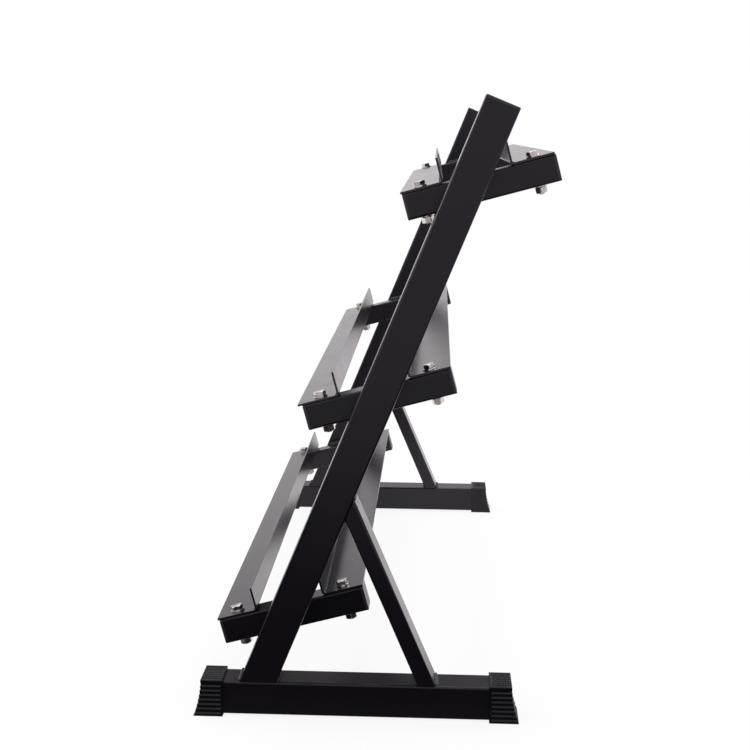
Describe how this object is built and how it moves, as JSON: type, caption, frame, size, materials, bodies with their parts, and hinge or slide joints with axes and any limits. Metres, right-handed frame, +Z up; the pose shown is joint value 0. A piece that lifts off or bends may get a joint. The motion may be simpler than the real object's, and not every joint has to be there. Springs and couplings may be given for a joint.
{
  "type": "dumbbell rack",
  "caption": "Free-standing steel dumbbell rack: two leaning side frames with foot caps, joined by tilted tiers of bolted angle rails.",
  "frame": {"origin": "middle of the footprint, on the floor", "axes": "+X along the rails to the user's right as they face the rack, +Y from the user's side to the back, +Z up"},
  "size_m": [1.166, 0.5167, 0.8924],
  "materials": {
    "frame_paint": "satin black powder coat",
    "rail_paint": "satin black powder coat",
    "cap_plastic": "ribbed black plastic",
    "plug_plastic": "smooth black plastic",
    "plated_steel": "bright zinc plating"
  },
  "bodies": {
    "root": {"bottom_front_rail": "rail_paint", "bottom_head_washers": "plated_steel", "bottom_hex_bolts": "plated_steel", "bottom_nut_washers": "plated_steel", "bottom_nuts": "plated_steel", "bottom_rear_rail": "rail_paint", "left_base_tube": "frame_paint", "left_bottom_arm": "frame_paint", "left_bottom_arm_front_plug": "plug_plastic", "left_bottom_arm_rear_plug": "plug_plastic", "left_brace_tube": "frame_paint", "left_front_foot_cap": "cap_plastic", "left_middle_arm": "frame_paint", "left_middle_arm_front_plug": "plug_plastic", "left_middle_arm_rear_plug": "plug_plastic", "left_rear_foot_cap": "cap_plastic", "left_top_arm": "frame_paint", "left_top_arm_front_plug": "plug_plastic", "left_top_arm_rear_plug": "plug_plastic", "left_upright_end_plug": "plug_plastic", "left_upright_tube": "frame_paint", "left_weld_beads": "frame_paint", "middle_front_rail": "rail_paint", "middle_head_washers": "plated_steel", "middle_hex_bolts": "plated_steel", "middle_nut_washers": "plated_steel", "middle_nuts": "plated_steel", "middle_rear_rail": "rail_paint", "right_base_tube": "frame_paint", "right_bottom_arm": "frame_paint", "right_bottom_arm_front_plug": "plug_plastic", "right_bottom_arm_rear_plug": "plug_plastic", "right_brace_tube": "frame_paint", "right_front_foot_cap": "cap_plastic", "right_middle_arm": "frame_paint", "right_middle_arm_front_plug": "plug_plastic", "right_middle_arm_rear_plug": "plug_plastic", "right_rear_foot_cap": "cap_plastic", "right_top_arm": "frame_paint", "right_top_arm_front_plug": "plug_plastic", "right_top_arm_rear_plug": "plug_plastic", "right_upright_end_plug": "plug_plastic", "right_upright_tube": "frame_paint", "right_weld_beads": "frame_paint", "top_front_rail": "rail_paint", "top_head_washers": "plated_steel", "top_hex_bolts": "plated_steel", "top_nut_washers": "plated_steel", "top_nuts": "plated_steel", "top_rear_rail": "rail_paint"}
  },
  "joints": []
}
